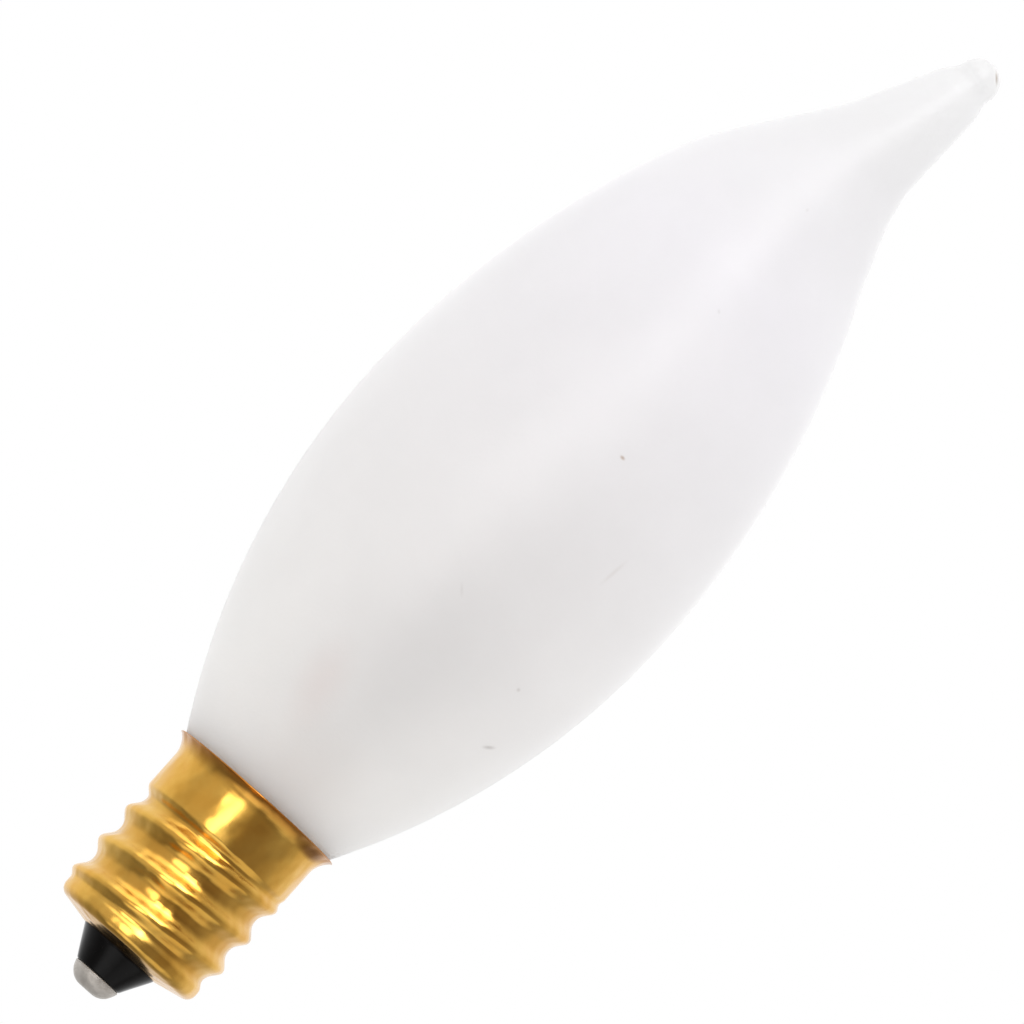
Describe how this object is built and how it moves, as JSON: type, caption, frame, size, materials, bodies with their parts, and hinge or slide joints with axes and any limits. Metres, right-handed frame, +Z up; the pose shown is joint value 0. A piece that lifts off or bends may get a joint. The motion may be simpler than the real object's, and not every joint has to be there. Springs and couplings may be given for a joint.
{
  "type": "candle bulb",
  "caption": "Frosted flame-shaped candle bulb with a bent, sealed tip, on a small brass screw cap with a black glass insulator and a soldered centre contact.",
  "frame": {"origin": "lowest point of the centre contact, on the bulb's axis", "axes": "+Z up the bulb's axis from the cap to the tip; the tip leans towards +X; -Y is the side the picture shows"},
  "size_m": [0.0254, 0.0254, 0.0826],
  "materials": {
    "frosted_glass": "acid-etched, satin",
    "brass": "bright, drawn and rolled",
    "black_glass": "moulded, glossy",
    "solder": "dull tin solder",
    "cement": "baked, matt"
  },
  "bodies": {
    "root": {"glass_envelope": "frosted_glass", "screw_shell": "brass", "insulator": "black_glass", "contact_eyelet": "brass", "contact_solder": "solder", "basing_cement": "cement", "side_solder": "solder"}
  },
  "joints": []
}
